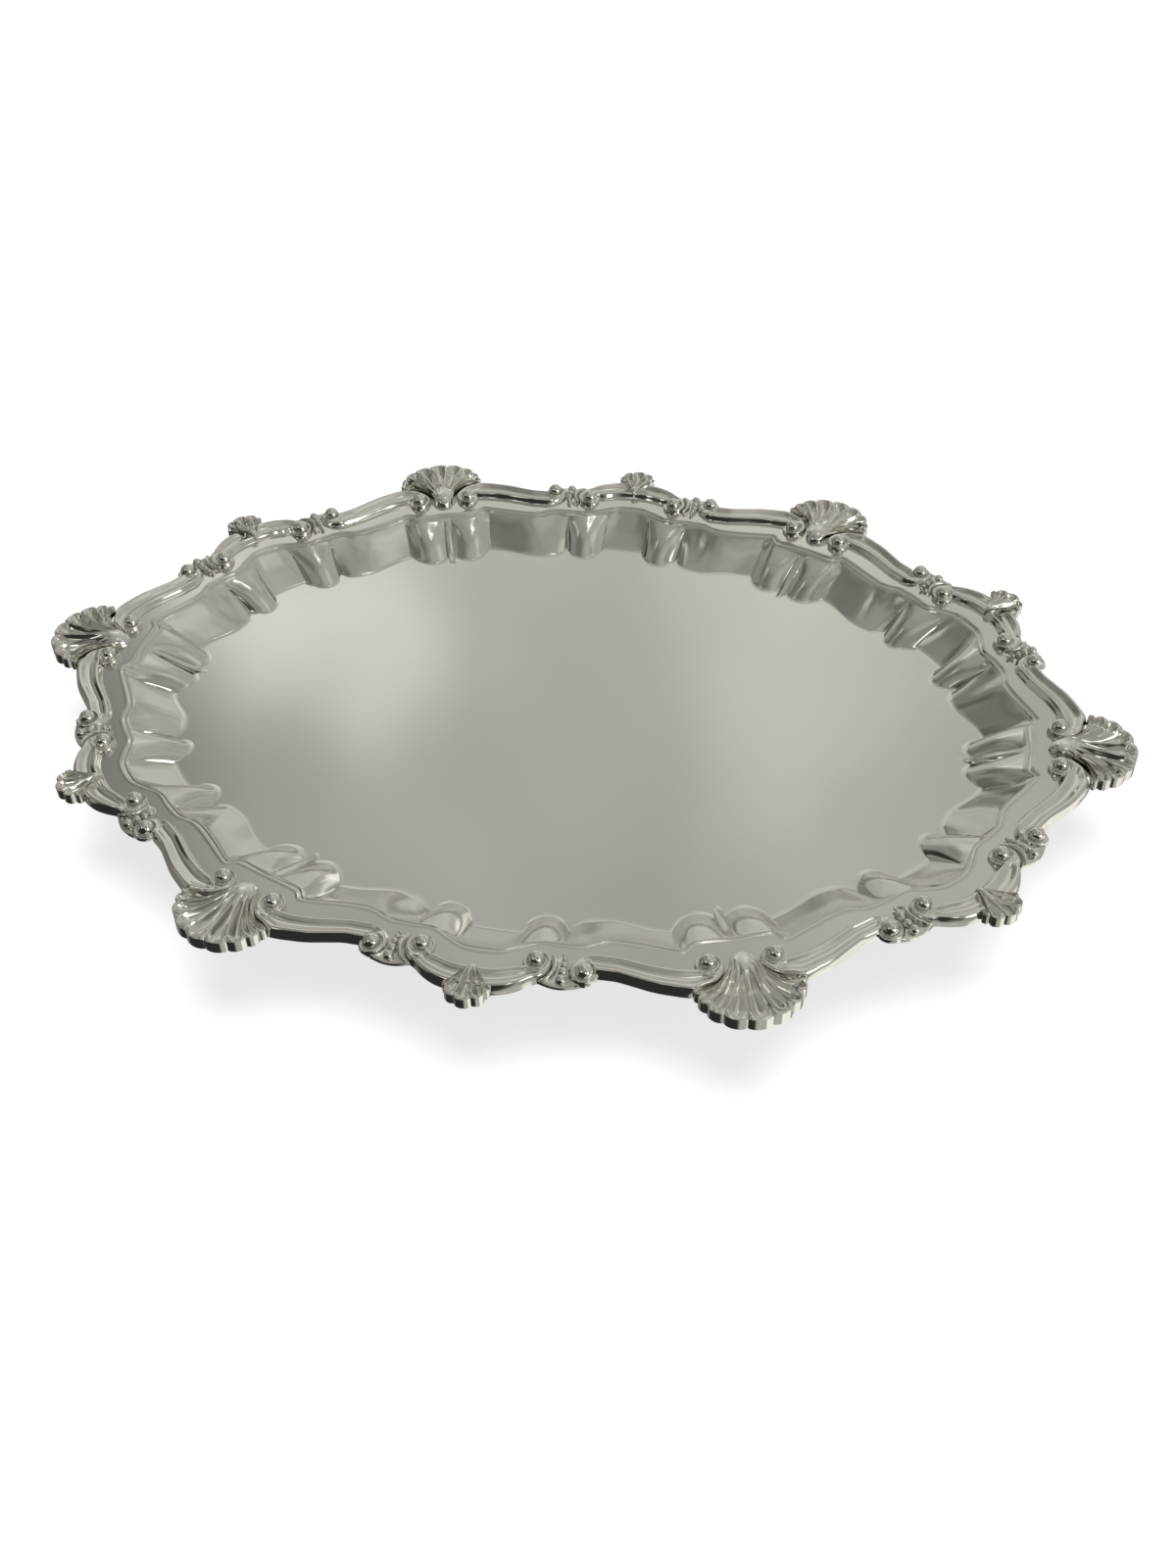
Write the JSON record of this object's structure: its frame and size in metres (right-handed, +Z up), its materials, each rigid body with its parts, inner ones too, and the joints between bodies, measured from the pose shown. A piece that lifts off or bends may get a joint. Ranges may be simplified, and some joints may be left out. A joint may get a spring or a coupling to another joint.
{
  "type": "oval footed salver",
  "caption": "Oval serving salver with a sunk well and a cast shell-and-scroll border, standing on small cabriole feet.",
  "frame": {"origin": "on the table below the middle of the plate", "axes": "+X along the salver's length to the middle of a shell, +Y along its width, +Z up"},
  "size_m": [0.3062, 0.2296, 0.0281],
  "materials": {
    "plate_silver": "satin, finely scratched silver sheet",
    "border_silver": "polished cast silver with a warm tarnish in its recesses",
    "foot_silver": "cast silver, polished on the outside"
  },
  "bodies": {
    "root": {"well_plate": "plate_silver", "shell_1": "border_silver", "shell_2": "border_silver", "shell_3": "border_silver", "shell_4": "border_silver", "shell_5": "border_silver", "shell_6": "border_silver", "scroll_left_1": "border_silver", "scroll_left_2": "border_silver", "scroll_left_3": "border_silver", "scroll_left_4": "border_silver", "scroll_left_5": "border_silver", "scroll_left_6": "border_silver", "scroll_right_1": "border_silver", "scroll_right_2": "border_silver", "scroll_right_3": "border_silver", "scroll_right_4": "border_silver", "scroll_right_5": "border_silver", "scroll_right_6": "border_silver", "c_scroll_1": "border_silver", "c_scroll_2": "border_silver", "c_scroll_3": "border_silver", "c_scroll_4": "border_silver", "c_scroll_5": "border_silver", "c_scroll_6": "border_silver", "palmette_1": "border_silver", "palmette_2": "border_silver", "palmette_3": "border_silver", "palmette_4": "border_silver", "palmette_5": "border_silver", "palmette_6": "border_silver", "pearls_left_1": "border_silver", "pearls_left_2": "border_silver", "pearls_left_3": "border_silver", "pearls_left_4": "border_silver", "pearls_left_5": "border_silver", "pearls_left_6": "border_silver", "pearls_right_1": "border_silver", "pearls_right_2": "border_silver", "pearls_right_3": "border_silver", "pearls_right_4": "border_silver", "pearls_right_5": "border_silver", "pearls_right_6": "border_silver", "foot_1": "foot_silver", "foot_2": "foot_silver", "foot_3": "foot_silver", "foot_4": "foot_silver"}
  },
  "joints": []
}
